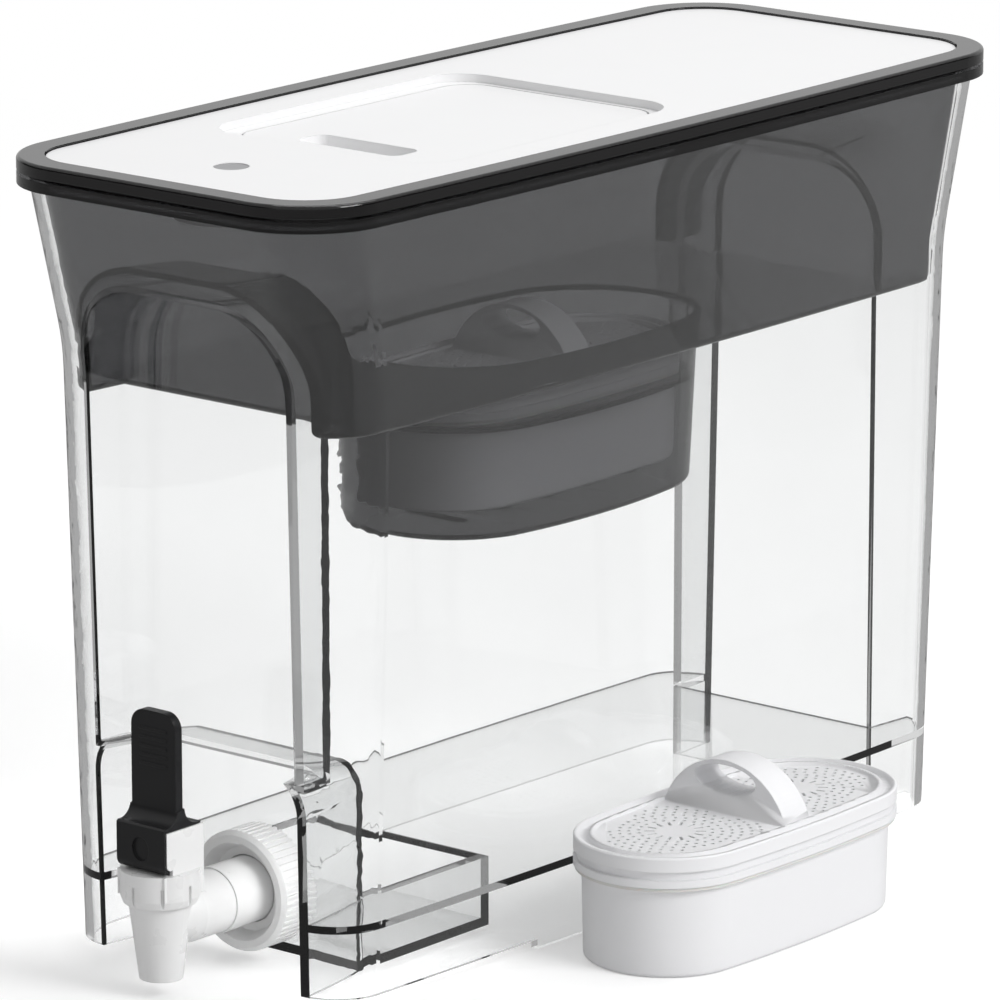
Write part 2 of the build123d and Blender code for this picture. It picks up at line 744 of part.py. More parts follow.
for name, station in stations.items():
    base = Plane(origin=station)

    with BuildPart() as cup:
        for level, inset in ((0, cup_bottom_inset), (cup_flange_level, cup_flange_inset)):
            with BuildSketch(base.offset(level)):
                cartridge_oval(inset)
        loft(ruled=True)
        fillet(cup.edges().group_by(Axis.Z)[0], cup_edge)
        with BuildSketch(base.offset(cup_flange_level)):
            cartridge_oval(0)
        extrude(amount=cup_flange_thickness)
        # rebated neck between flange and cap
        with BuildSketch(base.offset(cup_flange_level + cup_flange_thickness)):
            cartridge_oval(cup_groove_inset)
        extrude(amount=cup_groove)
        with BuildSketch(base.offset(cup_wall)):
            cartridge_oval(cup_bottom_inset + cup_wall)
        extrude(amount=cap_bottom, mode=Mode.SUBTRACT)
        with BuildSketch(base.offset(-1)):
            with GridLocations(0, 18, 1, 5):
                SlotOverall(24, 3)
        extrude(amount=cup_wall + 2, mode=Mode.SUBTRACT)
    cup.part.label = name + "_cup"
    export_step(cup.part, "parts/" + name + "_cup.step")

    with BuildPart() as cap:
        with BuildSketch(base.offset(cap_bottom)):
            cartridge_oval(0)
        extrude(amount=cap_height)
        chamfer(cap.edges().group_by(Axis.Z)[-1], cap_bevel)
        with BuildSketch(base.offset(cap_top)):
            cartridge_oval(cap_rim)
            cartridge_oval(cap_rim + moat_width, mode=Mode.SUBTRACT)
        extrude(amount=-moat_depth, mode=Mode.SUBTRACT)
        with BuildSketch(base.offset(cap_top)):
            cartridge_oval(plate_inset)
        extrude(amount=-cap_dish, mode=Mode.SUBTRACT)
        with BuildSketch(base.offset(cap_bottom)):
            cartridge_oval(cavity_inset)
        extrude(amount=cap_height - cap_dish - cap_plate, mode=Mode.SUBTRACT)
        # arched handle across the short axis, with a finger window
        front = Plane(origin=(station[0], station[1], station[2] + cap_top), x_dir=(1, 0, 0), z_dir=(0, -1, 0))
        with BuildSketch(front.offset(-handle_half_depth)):
            with BuildLine():
                ThreePointArc((-handle_half_span, 0), (0, handle_rise), (handle_half_span, 0))
                Polyline((handle_half_span, 0), (handle_half_span, -cap_dish), (-handle_half_span, -cap_dish),
                         (-handle_half_span, 0))
            make_face()
        extrude(amount=2 * handle_half_depth)
        with BuildSketch(front.offset(-handle_half_depth - 1)):
            with Locations((0, window_centre)):
                Ellipse(window_half_width, window_half_height)
        extrude(amount=2 * handle_half_depth + 2, mode=Mode.SUBTRACT)
    cap.part.label = name + "_cap"
    export_step(cap.part, "parts/" + name + "_cap.step")

    with BuildPart() as seal:
        with BuildSketch(base.offset(cup_flange_level - seal_thickness)):
            cartridge_oval(seal_inset)
        extrude(amount=seal_thickness)
        with BuildSketch(base.offset(cup_flange_level - seal_thickness - 1)):
            cartridge_oval(cup_flange_inset - seal_fit)
        extrude(amount=seal_thickness + 2, mode=Mode.SUBTRACT)
    seal.part.label = name + "_seal"
    export_step(seal.part, "parts/" + name + "_seal.step")

    with BuildPart() as screen:
        with BuildSketch(base.offset(cup_wall)):
            cartridge_oval(media_inset)
        extrude(amount=screen_thickness)
    screen.part.label = name + "_screen"
    export_step(screen.part, "parts/" + name + "_screen.step")

    with BuildPart() as media:
        with BuildSketch(base.offset(media_level)):
            cartridge_oval(media_inset)
        extrude(amount=cap_bottom - media_level - media_headroom)
    media.part.label = name + "_media"
    export_step(media.part, "parts/" + name + "_media.step")

# ---------------------------------------------------------------- lid rim
with BuildPart() as lid_rim:
    with BuildSketch(Plane.XY.offset(lid_bottom)):
        bowed_outline(rim_half_width, rim_half_length, rim_corner)
    extrude(amount=lid_height)
    fillet(lid_rim.edges().group_by(Axis.Z)[-1], lid_edge)
    # inner step that rests on the reservoir flange
    with BuildSketch(Plane.XY.offset(flange_top)):
        bowed_outline(rim_half_width - 2, rim_half_length - 2, rim_corner - 2)
    extrude(amount=lid_gap)
    # locating skirt inside the reservoir mouth
    skirt_bottom = flange_top - lid_skirt_depth
    skirt_inset = reservoir_inset + reservoir_wall + lid_skirt_fit
    with BuildSketch(Plane.XY.offset(skirt_bottom)):
        bowed_outline(*wall_plan(skirt_bottom, skirt_inset))
    extrude(amount=lid_skirt_depth)
    with BuildSketch(Plane.XY.offset(skirt_bottom - 1)):
        bowed_outline(*wall_plan(skirt_bottom, skirt_inset + lid_skirt_wall))
    extrude(amount=lid_skirt_depth + lid_height + 4, mode=Mode.SUBTRACT)
    # rebate for the panel
    with BuildSketch(Plane.XY.offset(panel_bottom)):
        bowed_outline(rim_half_width - lid_band, rim_half_length - lid_band, rim_corner - lid_band)
    extrude(amount=lid_height, mode=Mode.SUBTRACT)
lid_rim.part.label = "lid_rim"
export_step(lid_rim.part, "parts/lid_rim.step")

# ---------------------------------------------------------------- lid panel with the door tray
tray_floor = panel_top - tray_depth
door_bottom = tray_floor - door_thickness
seat_bottom = door_bottom - seat_wall
door_length = door_rear - door_front
door_middle = (door_front + door_rear) / 2
tray_length = tray_rear - tray_front
tray_middle = (tray_front + tray_rear) / 2
opening_half_width = door_half_width + door_gap
hinge_y = door_rear - door_corner
hinge_z = (tray_floor + door_bottom) / 2
with BuildPart() as lid_panel:
    with BuildSketch(Plane.XY.offset(panel_bottom)):
        bowed_outline(rim_half_width - lid_band - panel_fit, rim_half_length - lid_band - panel_fit,
                      rim_corner - lid_band - panel_fit)
    extrude(amount=panel_thickness)
    # tray and, hanging below it, the frame round the door
    with BuildSketch(Plane.XY.offset(tray_floor - tray_wall)):
        with Locations((0, tray_middle)):
            RectangleRounded(2 * (tray_half_width + tray_wall), tray_length + 2 * tray_wall, tray_corner + tray_wall)
    extrude(amount=panel_bottom - tray_floor + tray_wall)
    with BuildSketch(Plane.XY.offset(seat_bottom)):
        with Locations((0, door_middle)):
            RectangleRounded(2 * (opening_half_width + seat_wall), door_length + 2 * (door_gap + seat_wall),
                             door_corner + door_gap + seat_wall)
    extrude(amount=tray_floor - tray_wall - seat_bottom)
    with BuildSketch(Plane.XY.offset(tray_floor)):
        with Locations((0, tray_middle)):
            RectangleRounded(2 * tray_half_width, tray_length, tray_corner)
    extrude(amount=panel_top, mode=Mode.SUBTRACT)
    with BuildSketch(Plane.XY.offset(door_bottom)):
        with Locations((0, door_middle)):
            RectangleRounded(2 * opening_half_width, door_length + 2 * door_gap, door_corner + door_gap)
    extrude(amount=panel_top, mode=Mode.SUBTRACT)
    # the mouth inside the seat, and behind it the room for the door's tail to swing down
    with BuildSketch(Plane.XY.offset(seat_bottom - 1)):
        with Locations((0, (door_front + door_seat + door_rear) / 2)):
            RectangleRounded(2 * (door_half_width - door_seat), door_length - door_seat, door_corner - door_seat)
    extrude(amount=seat_wall + 2, mode=Mode.SUBTRACT)
    with BuildSketch(Plane.XY.offset(seat_bottom - 1)):
        with Locations((0, hinge_y + (door_corner + door_gap - door_seat) / 2)):
            Rectangle(2 * opening_half_width, door_corner + door_gap + door_seat)
        with Locations((0, door_middle)):
            RectangleRounded(2 * opening_half_width, door_length + 2 * door_gap, door_corner + door_gap,
                             mode=Mode.INTERSECT)
    extrude(amount=seat_wall + 2, mode=Mode.SUBTRACT)
    with BuildSketch(Plane.YZ):
        with Locations((hinge_y, hinge_z)):
            Circle(trunnion_radius + trunnion_fit)
    extrude(amount=opening_half_width + trunnion_reach, both=True, mode=Mode.SUBTRACT)
    # hole for the timer button
    with BuildSketch(Plane.XY.offset(panel_bottom - 1)):
        with Locations((0, button_y)):
            Circle(button_radius + button_fit)
    extrude(amount=panel_thickness + 2, mode=Mode.SUBTRACT)
lid_panel.part.label = "lid_panel"
export_step(lid_panel.part, "parts/lid_panel.step")

# ---------------------------------------------------------------- fill door
scoop_middle = (scoop_front + scoop_rear) / 2
scoop_length = scoop_rear - scoop_front
with BuildPart() as fill_door:
    with BuildSketch(Plane.XY.offset(door_bottom)):
        with Locations((0, door_middle)):
            RectangleRounded(2 * door_half_width, door_length, door_corner)
    extrude(amount=door_thickness)
    with BuildSketch(Plane.XY.offset(tray_floor - scoop_depth - scoop_wall)):
        with Locations((0, scoop_middle)):
            RectangleRounded(2 * (scoop_half_width + scoop_wall), scoop_length + 2 * scoop_wall,
                             scoop_corner + scoop_wall)
    extrude(amount=scoop_depth + scoop_wall - door_thickness)
    with BuildSketch(Plane.XY.offset(tray_floor - scoop_depth)):
        with Locations((0, scoop_middle)):
            RectangleRounded(2 * scoop_half_width, scoop_length, scoop_corner)
    extrude(amount=scoop_depth, mode=Mode.SUBTRACT)
    with BuildSketch(Plane.YZ):
        with Locations((hinge_y, hinge_z)):
            Circle(trunnion_radius)
    extrude(amount=opening_half_width + trunnion_reach - trunnion_fit, both=True)
fill_door.part.label = "fill_door"
export_step(fill_door.part, "parts/fill_door.step")

# ---------------------------------------------------------------- timer
case_bottom = panel_bottom - timer_depth
board_level = panel_bottom - 6.5
with BuildPart() as timer_case:
    with BuildSketch(Plane.XY.offset(case_bottom)):
        with Locations((0, button_y)):
            Circle(timer_radius)
    extrude(amount=timer_depth)
    with BuildSketch(Plane.XY.offset(case_bottom + timer_wall)):
        with Locations((0, button_y)):
            Circle(timer_radius - timer_wall - 1.5)
    extrude(amount=timer_depth, mode=Mode.SUBTRACT)
    with BuildSketch(Plane.XY.offset(board_level)):
        with Locations((0, button_y)):
            Circle(timer_radius - timer_wall)
    extrude(amount=timer_depth, mode=Mode.SUBTRACT)
timer_case.part.label = "timer_case"
export_step(timer_case.part, "parts/timer_case.step")

with BuildPart() as timer_board:
    with BuildSketch(Plane.XY.offset(board_level)):
        with Locations((0, button_y)):
            Circle(timer_radius - timer_wall - 0.1)
    extrude(amount=board_thickness)
timer_board.part.label = "timer_board"
export_step(timer_board.part, "parts/timer_board.step")

with BuildPart() as timer_cell:
    with BuildSketch(Plane.XY.offset(case_bottom + timer_wall)):
        with Locations((0, button_y)):
            Circle(cell_radius)
    extrude(amount=cell_thickness)
timer_cell.part.label = "timer_cell"
export_step(timer_cell.part, "parts/timer_cell.step")

with BuildPart() as timer_button:
    with BuildSketch(Plane.XY.offset(panel_bottom)):
        with Locations((0, button_y)):
            Circle(button_radius)
    extrude(amount=panel_thickness - 0.2)
    with BuildSketch(Plane.XY.offset(panel_bottom)):
        with Locations((0, button_y)):
            Circle(button_radius + 1.6)
    extrude(amount=-1.0)
    with BuildSketch(Plane.XY.offset(panel_bottom - 1.0)):
        with Locations((0, button_y)):
            Circle(1.5)
    extrude(amount=-(6.5 - 1.0 - board_thickness - button_travel - 0.1))
timer_button.part.label = "timer_button"
export_step(timer_button.part, "parts/timer_button.step")
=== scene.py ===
"""Finish of the gravity water filter: clear tank, tap, smoke reservoir, lid with fill door, two cartridges.

Metres, +Z up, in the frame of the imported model: X is the width, Y the length with the tap towards -Y.
"""

import json
from math import cos, pi, radians, sin

import bmesh
import bpy
from mathutils import Matrix, Vector

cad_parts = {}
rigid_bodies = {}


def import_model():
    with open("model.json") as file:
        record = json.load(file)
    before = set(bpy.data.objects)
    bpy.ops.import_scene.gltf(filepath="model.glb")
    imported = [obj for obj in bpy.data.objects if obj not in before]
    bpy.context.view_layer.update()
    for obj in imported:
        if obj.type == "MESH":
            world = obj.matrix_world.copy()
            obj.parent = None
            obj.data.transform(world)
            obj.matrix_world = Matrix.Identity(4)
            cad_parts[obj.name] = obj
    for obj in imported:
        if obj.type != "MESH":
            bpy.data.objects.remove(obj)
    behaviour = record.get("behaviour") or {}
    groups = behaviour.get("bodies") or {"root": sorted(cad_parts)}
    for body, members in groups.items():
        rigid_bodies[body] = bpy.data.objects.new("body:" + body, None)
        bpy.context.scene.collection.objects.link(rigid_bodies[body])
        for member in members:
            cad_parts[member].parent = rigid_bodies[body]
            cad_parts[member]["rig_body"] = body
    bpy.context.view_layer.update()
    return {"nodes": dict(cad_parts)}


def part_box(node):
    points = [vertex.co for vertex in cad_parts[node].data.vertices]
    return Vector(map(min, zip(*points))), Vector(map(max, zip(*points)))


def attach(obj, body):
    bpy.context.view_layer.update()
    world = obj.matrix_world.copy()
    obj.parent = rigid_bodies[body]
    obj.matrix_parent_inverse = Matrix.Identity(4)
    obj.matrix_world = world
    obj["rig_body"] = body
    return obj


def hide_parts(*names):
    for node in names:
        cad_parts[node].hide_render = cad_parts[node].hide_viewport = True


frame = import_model()
scene = bpy.context.scene

# ---------------------------------------------------------------- camera
# A long lens that looks down a little, from in front of the tank's tap end and to its right.  Its aim lies a
# few millimetres to the left of its target and below it.
camera_azimuth = 39.4
camera_elevation = 14.04
camera_distance = 2.5276
camera_target = Vector((0, 0, 0.134))
camera_aim_right = -0.00574
camera_aim_up = -0.00413
lens_length = 269.9
sensor_width = 36.0

lens = bpy.data.cameras.new("camera")
lens.lens = lens_length
lens.sensor_width = sensor_width
lens.clip_end = 30
camera = bpy.data.objects.new("camera", lens)
scene.collection.objects.link(camera)
scene.camera = camera
azimuth = radians(camera_azimuth)
elevation = radians(camera_elevation)
towards_camera = Vector((sin(azimuth) * cos(elevation), -cos(azimuth) * cos(elevation), sin(elevation)))
camera_right = Vector((cos(azimuth), sin(azimuth), 0))
camera_up = towards_camera.cross(camera_right)
camera.location = camera_target + camera_distance * towards_camera
aim = camera_target + camera_aim_right * camera_right + camera_aim_up * camera_up
camera.rotation_mode = "QUATERNION"
camera.rotation_quaternion = (aim - camera.location).to_track_quat("-Z", "Y")
scene.view_settings.view_transform = "Standard"


# ---------------------------------------------------------------- studio
# White floor that keeps the shadows near the object, glows white farther out and is darker in reflections.
# White surroundings with grey cards at the sides, which draw the edges of clear plastic, and two soft lamps.
class Shade:
    """An output in a node tree.  Arithmetic on it adds Math nodes, node() adds any other node."""

    def __init__(self, tree, socket=None):
        self.tree = tree
        self.socket = socket

    def node(self, kind, settings, sockets, output=0):
        """New node of a kind, with its own settings first and then the values or links of its sockets."""
        made = self.tree.nodes.new("ShaderNode" + kind)
        for name, value in settings.items():
            setattr(made, name, value)
        for name, value in sockets.items():
            if isinstance(value, Shade):
                self.tree.links.new(value.socket, made.inputs[name])
            else:
                made.inputs[name].default_value = value
        return Shade(self.tree, made.outputs[output]) if made.outputs else None

    def maths(self, operation, *values):
        return self.node("Math", {"operation": operation}, dict(enumerate(values)))

    def mix(self, factor, first, second):
        """Colour between first and second."""
        return self.node("Mix", {"data_type": "RGBA"}, {0: factor, 6: first, 7: second}, 2)

    def __add__(self, other):
        return self.maths("ADD", self, other)

    def __radd__(self, other):
        return self.maths("ADD", other, self)

    def __sub__(self, other):
        return self.maths("SUBTRACT", self, other)

    def __rsub__(self, other):
        return self.maths("SUBTRACT", other, self)

    def __mul__(self, other):
        return self.maths("MULTIPLY", self, other)


def seen_ray(start):
    """1 for what the camera sees straight on, in a reflection or through clear plastic."""
    camera_ray = start.node("LightPath", {}, {}, "Is Camera Ray")
    glossy_ray = start.node("LightPath", {}, {}, "Is Glossy Ray")
    through_ray = start.node("LightPath", {}, {}, "Is Transmission Ray")
    return start.maths("MAXIMUM", start.maths("MAXIMUM", camera_ray, glossy_ray), through_ray)


def new_material(name):
    material = bpy.data.materials.new(name)
    material.use_nodes = True
    material.node_tree.nodes.clear()
    return material, Shade(material.node_tree)


floor_grey = 0.80
floor_glow = 0.33
floor_mirrored = 0.4
floor_fades_from = 0.6
floor_fades_to = 1.4
floor_size = 12.0

floor_material, shade = new_material("studio_floor")
paper = shade.node("BsdfDiffuse", {}, {"Color": (floor_grey, floor_grey, floor_grey, 1)})
glow = shade.node("Emission", {}, {"Strength": seen_ray(shade) * floor_glow})
near_floor = shade.node("AddShader", {}, {0: paper, 1: glow})
far_floor = shade.node("Emission", {}, {"Strength": 1.0})
mirrored_floor = shade.node("Emission", {}, {"Strength": floor_mirrored})
spot = shade.node("TexCoord", {}, {}, "Object")
distance = shade.node("VectorMath", {"operation": "LENGTH"}, {0: spot}, 1)
far = shade.node("MapRange", {}, {
    "Value": distance, "From Min": floor_fades_from, "From Max": floor_fades_to
})
floor_seen = shade.node("MixShader", {}, {0: far * seen_ray(shade), 1: near_floor, 2: far_floor})
reflections = shade.node("LightPath", {}, {}, "Glossy Depth")
mirrored = shade.maths("MINIMUM", reflections, 1.0)
floor_surface = shade.node("MixShader", {}, {0: mirrored, 1: floor_seen, 2: mirrored_floor})
shade.node("OutputMaterial", {}, {"Surface": floor_surface})
floor_mesh = bpy.data.meshes.new("studio_floor")
sheet = bmesh.new()
bmesh.ops.create_grid(sheet, x_segments=1, y_segments=1, size=floor_size / 2)
sheet.to_mesh(floor_mesh)
sheet.free()
floor = bpy.data.objects.new("studio_floor", floor_mesh)
floor.data.materials.append(floor_material)
scene.collection.objects.link(floor)

# the cards are faded in by how far a direction points to the left or right, and out by how far it points up;
# the camera sees them only in plastic
room_light = 0.50
side_card_grey = 0.12
left_card_from = -0.55
left_card_to = -0.80
right_card_from = 0.80
right_card_to = 0.93
card_top_from = 0.45
card_top_to = 0.25

world = bpy.data.worlds.new("studio")
world.use_nodes = True
world.node_tree.nodes.clear()
scene.world = world
shade = Shade(world.node_tree)
direction = shade.node("TexCoord", {}, {}, "Generated")
sideways = shade.node("VectorMath", {"operation": "DOT_PRODUCT"}, {0: direction, 1: camera_right}, 1)
height = shade.node("SeparateXYZ", {}, {0: direction}, "Z")
left_card = shade.node("MapRange", {}, {
    "Value": sideways, "From Min": left_card_from, "From Max": left_card_to
})
right_card = shade.node("MapRange", {}, {
    "Value": sideways, "From Min": right_card_from, "From Max": right_card_to
})
low = shade.node("MapRange", {}, {"Value": height, "From Min": card_top_from, "From Max": card_top_to})
cards = shade.maths("MAXIMUM", left_card, right_card) * low
seen = seen_ray(shade)
straight = shade.node("LightPath", {}, {}, "Is Camera Ray")
card_light = 1 - cards * (1 - side_card_grey) * (1 - straight)
strength = seen * card_light + (1 - seen) * room_light
shade.node("OutputWorld", {}, {"Surface": shade.node("Background", {}, {"Strength": strength})})


def softbox(name, place, side, watts):
    """Square lamp aimed at the object."""
    lamp = bpy.data.lights.new(name, "AREA")
    lamp.size = side
    lamp.energy = watts
    made = bpy.data.objects.new(name, lamp)
    made.location = place
    made.rotation_mode = "QUATERNION"
    made.rotation_quaternion = (camera_target - made.location).to_track_quat("-Z", "Y")
    scene.collection.objects.link(made)


softbox("key_softbox", place=Vector((2.2, 0.2, 1.5)), side=1.2, watts=38)
softbox("top_softbox", place=Vector((-0.2, 0.6, 2.4)), side=1.8, watts=25)

# enough bounces to see through every layer of plastic
bounces = 24
scene.cycles.max_bounces = bounces
scene.cycles.transmission_bounces = bounces
scene.cycles.transparent_max_bounces = bounces


# ---------------------------------------------------------------- tank
# One injection moulding of clear plastic, with an arched recess in each end, a pocket for the tap and a
# hollow foot.  It stands on the rim of that foot and carries everything but the spare cartridge.
def object_place(shade):
    return shade.node("TexCoord", {}, {}, "Object")


def cloud(shade, size, detail=2.0):
    """Noise between 0 and 1 with lumps of a size in metres."""
    return shade.node("TexNoise", {}, {"Vector": object_place(shade), "Scale": 1 / size, "Detail": detail})


def mottled(shade, colour, amount, size):
    """Colour that drifts by a few hundredths, as moulded plastic does."""
    darker = tuple(channel * (1 - amount) for channel in colour)
    return shade.mix(cloud(shade, size), (*darker, 1), (*colour, 1))


def uneven(shade, value, spread, size):
    """Roughness that varies by spread about a value."""
    return value + (cloud(shade, size, detail=4.0) - 0.5) * spread


def surface_of(shade, sockets, even=None, **inside):
    """Principled surface; even holds what is the same all over, by socket name with _ for a space, and inside
    what fills the material's volume."""
    sockets.update({name.replace("_", " "): value for name, value in (even or {}).items()})
    shade.node("OutputMaterial", {}, {"Surface": shade.node("BsdfPrincipled", {}, sockets), **inside})


clear_mottle = 0.03
clear_mottle_size = 0.05
clear_spread = 0.01
clear_spread_size = 0.02
passed_colour = (0.04, 0.045, 0.045, 1)


def see_through(name, colour, density, shadow, roughness, **even):
    """Plastic that darkens with its depth, by density in 1/m; each face stops a share of a lamp's light."""
    material, shade = new_material(name)
    shadow_ray = shade.node("LightPath", {}, {}, "Is Shadow Ray")
    sockets = {
        "Base Color": mottled(shade, colour, clear_mottle, clear_mottle_size),
        "Roughness": uneven(shade, roughness, clear_spread, clear_spread_size),
        "Alpha": 1 - shadow_ray * (1 - shadow),
        "Transmission Weight": 1.0,
    }
    tint = shade.node("VolumeAbsorption", {}, {"Color": passed_colour, "Density": density})
    surface_of(shade, sockets, even, Volume=tint)
    return material


same_point = 1e-6       # corners closer than this are one


def moulding(node, material):
    """Piece that stands for a CAD node: its own mesh, merged, with the normals of the solid's own faces."""
    source = frame["nodes"][node].data
    shape = bmesh.new()
    shape.from_mesh(source)
    surface = shape.loops.layers.float_vector.new("surface")
    corners = iter(source.corner_normals)
    for face in shape.faces:
        face.smooth = True
        for corner in face.loops:
            corner[surface] = next(corners).vector
    bmesh.ops.remove_doubles(shape, verts=shape.verts, dist=same_point)
    mesh = bpy.data.meshes.new(node + "_moulding")
    shape.to_mesh(mesh)
    shape.free()
    normals = [tuple(value.vector) for value in mesh.attributes["surface"].data]
    mesh.attributes.remove(mesh.attributes["surface"])
    mesh.normals_split_custom_set(normals)
    mesh.materials.append(material)
    piece = bpy.data.objects.new(node + "_moulding", mesh)
    scene.collection.objects.link(piece)
    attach(piece, frame["nodes"][node]["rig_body"])
    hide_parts(node)
    return piece


clear_plastic = see_through(
    "clear_plastic", colour=(0.992, 0.996, 0.996), density=4.0, shadow=0.02, roughness=0.01,
    IOR=1.49, Specular_IOR_Level=0.2,
)
moulding("tank", clear_plastic)

# ---------------------------------------------------------------- reservoir
# Injection moulding of smoke tinted plastic that hangs in the tank by its flange.  Its notches clear the
# tank's recesses, and the cartridge sits in its oval well.
smoke_plastic = see_through(
    "smoke_plastic", colour=(0.42, 0.42, 0.43), density=180.0, shadow=0.0, roughness=0.02,
    IOR=1.45, Specular_IOR_Level=0.4,
)
moulding("reservoir", smoke_plastic)

# ---------------------------------------------------------------- lid
# Near black tinted rim with a white satin panel set into it; the fill door swings up on trunnions at its rear
# end.
smoke_rim = see_through(
    "smoke_rim", colour=(0.10, 0.10, 0.105), density=700.0, shadow=0.8, roughness=0.03, IOR=1.5
)
moulding("lid_rim", smoke_rim)


def rounded_edge(shade, radius):
    """Surface normal that turns smoothly over the moulding's sharp edges."""
    return shade.node("Bevel", {"samples": 4}, {"Radius": radius})


plastic_mottle_size = 0.02
plastic_spread_size = 0.012


def plastic(name, colour, mottle, roughness, spread, grain_size, grain_depth, edge, **even):
    """Moulded plastic with the fine grain of its mould; sizes in metres."""
    material, shade = new_material(name)
    grain = cloud(shade, grain_size, detail=3.0)
    sockets = {
        "Base Color": mottled(shade, colour, mottle, plastic_mottle_size),
        "Roughness": uneven(shade, roughness, spread, plastic_spread_size),
        "Normal": shade.node(
            "Bump", {}, {"Height": grain, "Distance": grain_depth, "Normal": rounded_edge(shade, edge)}
        ),
    }
    surface_of(shade, sockets, even)
    return material


white_lid = plastic(
    "white_lid", colour=(0.87, 0.87, 0.875), mottle=0.015, roughness=0.34, spread=0.05,
    grain_size=0.0006, grain_depth=0.00001, edge=0.0005, IOR=1.5,
)
moulding("lid_panel", white_lid)
moulding("fill_door", white_lid)

# ---------------------------------------------------------------- timer
# Replacement timer: a round case of grey plastic under the lid's panel, with a lacquered circuit board and a
# steel button cell in it, and a grey button in the panel that is pressed from above.
grey_button = plastic(
    "grey_button", colour=(0.3, 0.3, 0.31), mottle=0.04, roughness=0.45, spread=0.08,
    grain_size=0.0005, grain_depth=0.00002, edge=0.0005,
)
moulding("timer_button", grey_button)
grey_case = plastic(
    "grey_case", colour=(0.46, 0.46, 0.47), mottle=0.03, roughness=0.5, spread=0.08,
    grain_size=0.0006, grain_depth=0.00002, edge=0.0004,
)
moulding("timer_case", grey_case)

wave_length = 0.314     # of a wave texture at scale 1
track_pitch = 0.0012
track_share = 0.25
track_block = 4 * track_pitch
track_height = 0.00003
board_green = (0.012, 0.10, 0.035, 1)
track_green = (0.03, 0.19, 0.07, 1)


def waves(shade, axis, pitch):
    """Waves between 0 and 1 along an axis."""
    place = {"Vector": object_place(shade), "Scale": wave_length / pitch}
    return shade.node("TexWave", {"bands_direction": axis}, place, "Fac")


def copper_tracks(shade):
    """1 on the tracks of a circuit board, which run both ways and stop at random."""
    across = waves(shade, "X", track_pitch)
    along = waves(shade, "Y", track_pitch)
    blocks = shade.node("TexVoronoi", {}, {"Vector": object_place(shade), "Scale": 1 / track_block}, "Color")
    side = shade.maths("GREATER_THAN", shade.node("SeparateXYZ", {}, {0: blocks}, "X"), 0.5)
    track = across * (1 - side) + along * side
    return shade.maths("GREATER_THAN", track, 1 - track_share)


board_lacquer, shade = new_material("board_lacquer")
tracks = copper_tracks(shade)
surface_of(shade, {
    "Base Color": shade.mix(tracks, board_green, track_green),
    "Roughness": uneven(shade, 0.32, spread=0.06, size=0.004),
    "Normal": shade.node("Bump", {}, {"Height": tracks, "Distance": track_height}),
})
moulding("timer_board", board_lacquer)

steel_mottle = 0.06
steel_mottle_size = 0.003
steel_spread = 0.12
scratch_depth = 0.000004
drawn_along_x = (0.05, 1, 1)


def steel(name, colour, roughness, line):
    """Bright steel drawn along X, with fine lines a line wide."""
    material, shade = new_material(name)
    stretched = shade.node("Mapping", {}, {"Vector": object_place(shade), "Scale": drawn_along_x})
    lines = shade.node("TexNoise", {}, {"Vector": stretched, "Scale": 1 / line, "Detail": 2.0})
    surface_of(shade, {
        "Base Color": mottled(shade, colour, steel_mottle, steel_mottle_size),
        "Roughness": roughness + (lines - 0.5) * steel_spread,
        "Normal": shade.node("Bump", {}, {"Height": lines, "Distance": scratch_depth}),
    }, {"Metallic": 1.0})
    return material


cell_steel = steel("cell_steel", colour=(0.62, 0.62, 0.61), roughness=0.3, line=0.0003)
moulding("timer_cell", cell_steel)

# ---------------------------------------------------------------- tap
# White moulded body with its shank, a bonnet pressed over the body's neck, a ribbed hand nut on the tank's
# neck, and a black lever on a steel pin that lifts the stem off its silicone seat.
white_tap = plastic(
    "white_tap", colour=(0.87, 0.87, 0.87), mottle=0.02, roughness=0.28, spread=0.05,
    grain_size=0.0009, grain_depth=0.00001, edge=0.0004,
)
white_nut = plastic(
    "white_nut", colour=(0.86, 0.86, 0.86), mottle=0.02, roughness=0.36, spread=0.05,
    grain_size=0.0009, grain_depth=0.00001, edge=0.0003,
)
black_lever = plastic(
    "black_lever", colour=(0.012, 0.012, 0.013), mottle=0.1, roughness=0.38, spread=0.06,
    grain_size=0.0005, grain_depth=0.00002, edge=0.0006, Specular_IOR_Level=0.3,
)
silicone = plastic(
    "silicone", colour=(0.72, 0.72, 0.70), mottle=0.04, roughness=0.55, spread=0.08,
    grain_size=0.0008, grain_depth=0.00002, edge=0.0002, Subsurface_Weight=0.2, Subsurface_Scale=0.001,
)
pin_steel = steel("pin_steel", colour=(0.6, 0.6, 0.6), roughness=0.28, line=0.0002)
for name in ("tap_body", "tap_bonnet", "tap_stem"):
    moulding(name, white_tap)
moulding("tap_nut", white_nut)
moulding("tap_lever", black_lever)
moulding("lever_pin", pin_steel)
for name in ("tap_gasket", "stem_washer", "seat_plug"):
    moulding(name, silicone)

# ---------------------------------------------------------------- cartridges
# Two alike: one in the reservoir's well, a spare beside the tank.  A white cup under a snapped-on cap with
# an arched handle; a silicone seal, a nylon screen on the cup's floor and the filter granules inside.
white_cartridge = plastic(
    "white_cartridge", colour=(0.86, 0.86, 0.875), mottle=0.015, roughness=0.42, spread=0.06,
    grain_size=0.0008, grain_depth=0.00001, edge=0.0006,
)

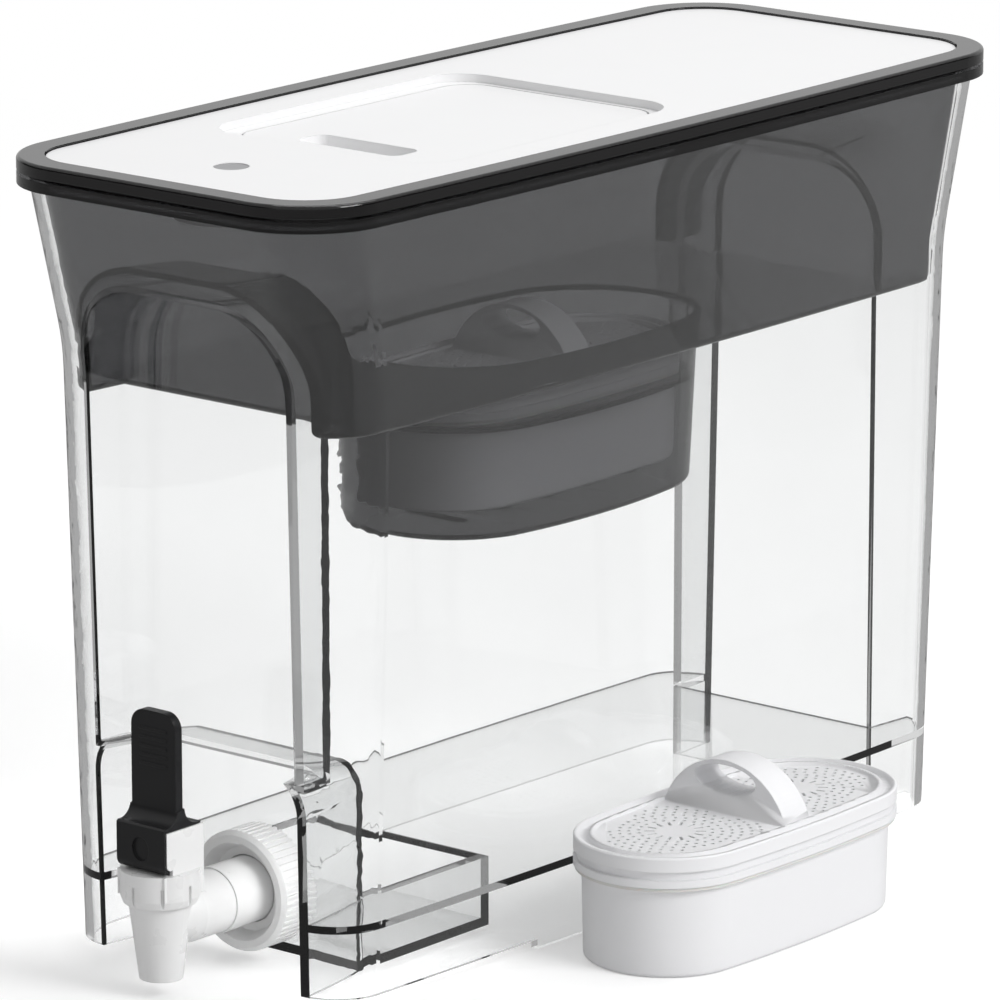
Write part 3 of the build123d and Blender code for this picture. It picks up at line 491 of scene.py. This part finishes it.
thread_pitch = 0.0005
thread_height = 0.0001
mesh_gap_grey = (0.35, 0.35, 0.34, 1)
thread_white = (0.8, 0.8, 0.78, 1)
nylon_mesh, shade = new_material("nylon_mesh")
threads = shade.maths("MAXIMUM", waves(shade, "X", thread_pitch), waves(shade, "Y", thread_pitch))
surface_of(shade, {
    "Base Color": shade.mix(threads, mesh_gap_grey, thread_white),
    "Roughness": uneven(shade, 0.5, spread=0.1, size=0.002),
    "Normal": shade.node("Bump", {}, {"Height": threads, "Distance": thread_height}),
})

granules_per_metre = 900.0
granule_height = 0.0006
carbon_share = 0.62
carbon_black = (0.012, 0.012, 0.013, 1)
resin_amber = (0.35, 0.22, 0.10, 1)
granules, shade = new_material("granules")
bed = {"Vector": object_place(shade), "Scale": granules_per_metre}
grain = shade.node("TexVoronoi", {}, bed, "Distance")
kind = shade.node("SeparateXYZ", {}, {0: shade.node("TexVoronoi", {}, bed, "Color")}, "X")
surface_of(shade, {
    "Base Color": shade.mix(shade.maths("GREATER_THAN", kind, carbon_share), carbon_black, resin_amber),
    "Roughness": uneven(shade, 0.6, spread=0.15, size=0.001),
    "Normal": shade.node("Bump", {"invert": True}, {"Height": grain, "Distance": granule_height}),
})

# The cap's plate has two plain patches, each with a star of slots round it and rings of holes farther out.
# A vent pierces the cap near its front end.
patch_place = 0.033     # of a patch's middle from the cap's middle
slot_ring = 0.0085
slot_count = 14
slot_size = (0.0034, 0.0010)
first_hole_ring = 0.0122
hole_ring_step = 0.0032
hole_ring_count = 6
hole_pitch = 0.0035
hole_radius = 0.00075
plate_half_length = 0.0617
plate_half_width = 0.0254
plate_margin = 0.0016
plate_roundness = 2.4
plate_height = 0.0049    # of the plate's middle above the cap's foot
handle_half_depth = 0.0086
vent_place = -0.0650
vent_size = (0.0052, 0.0012)
cut_depth = 0.0060
crease = radians(30)


def on_plate(x, y):
    """Whether a hole at x, y from the cap's middle is clear of the plate's edge and of the handle."""
    across = x / (plate_half_width - plate_margin)
    along = y / (plate_half_length - plate_margin)
    return across ** plate_roundness + along ** plate_roundness < 1 and y > handle_half_depth


def cap_cutters(centre, top):
    """One mesh of the pins that cut the holes, slots and vent of a cap."""
    cutters = bmesh.new()
    for side in (-1, 1):
        for number in range(hole_ring_count):
            ring = first_hole_ring + number * hole_ring_step
            holes = round(2 * pi * ring / hole_pitch)
            for hole in range(holes):
                angle = 2 * pi * hole / holes
                x = ring * cos(angle)
                y = patch_place + ring * sin(angle)
                if on_plate(abs(x), y):
                    place = Matrix.Translation((centre.x + x, centre.y + side * y, top))
                    bmesh.ops.create_cone(
                        cutters, cap_ends=True, segments=8, radius1=hole_radius, radius2=hole_radius,
                        depth=cut_depth, matrix=place,
                    )
        patch = Matrix.Translation((centre.x, centre.y + side * patch_place, top))
        for slot in range(slot_count):
            turn = Matrix.Rotation(2 * pi * (slot + 0.5) / slot_count, 4, "Z")
            place = patch @ turn @ Matrix.Translation((slot_ring, 0, 0))
            slot_shape = Matrix.Diagonal((*slot_size, cut_depth, 1))
            bmesh.ops.create_cube(cutters, size=1.0, matrix=place @ slot_shape)
    place = Matrix.Translation((centre.x, centre.y + vent_place, top))
    vent_shape = Matrix.Diagonal((*vent_size, cut_depth, 1))
    bmesh.ops.create_cube(cutters, size=1.0, matrix=place @ vent_shape)
    bmesh.ops.recalc_face_normals(cutters, faces=cutters.faces)
    mesh = bpy.data.meshes.new("cap_cutters")
    cutters.to_mesh(mesh)
    cutters.free()
    pins = bpy.data.objects.new("cap_cutters", mesh)
    scene.collection.objects.link(pins)
    return pins


def pierce(piece, pins):
    """Cuts the pins out of the piece for good and shades it by its creases."""
    cut = piece.modifiers.new("pierce", "BOOLEAN")
    cut.object = pins
    cut.solver = "EXACT"
    bpy.context.view_layer.update()
    view = bpy.context.evaluated_depsgraph_get()
    mesh = bpy.data.meshes.new_from_object(piece.evaluated_get(view))
    piece.modifiers.clear()
    piece.data = mesh
    bpy.data.objects.remove(pins)
    mesh.set_sharp_from_angle(angle=crease)


for name in ("cartridge", "spare_cartridge"):
    moulding(name + "_cup", white_cartridge)
    cap = moulding(name + "_cap", white_cartridge)
    low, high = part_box(name + "_cap")
    pierce(cap, cap_cutters((low + high) / 2, low.z + plate_height))
    moulding(name + "_seal", silicone)
    moulding(name + "_screen", nylon_mesh)
    moulding(name + "_media", granules)
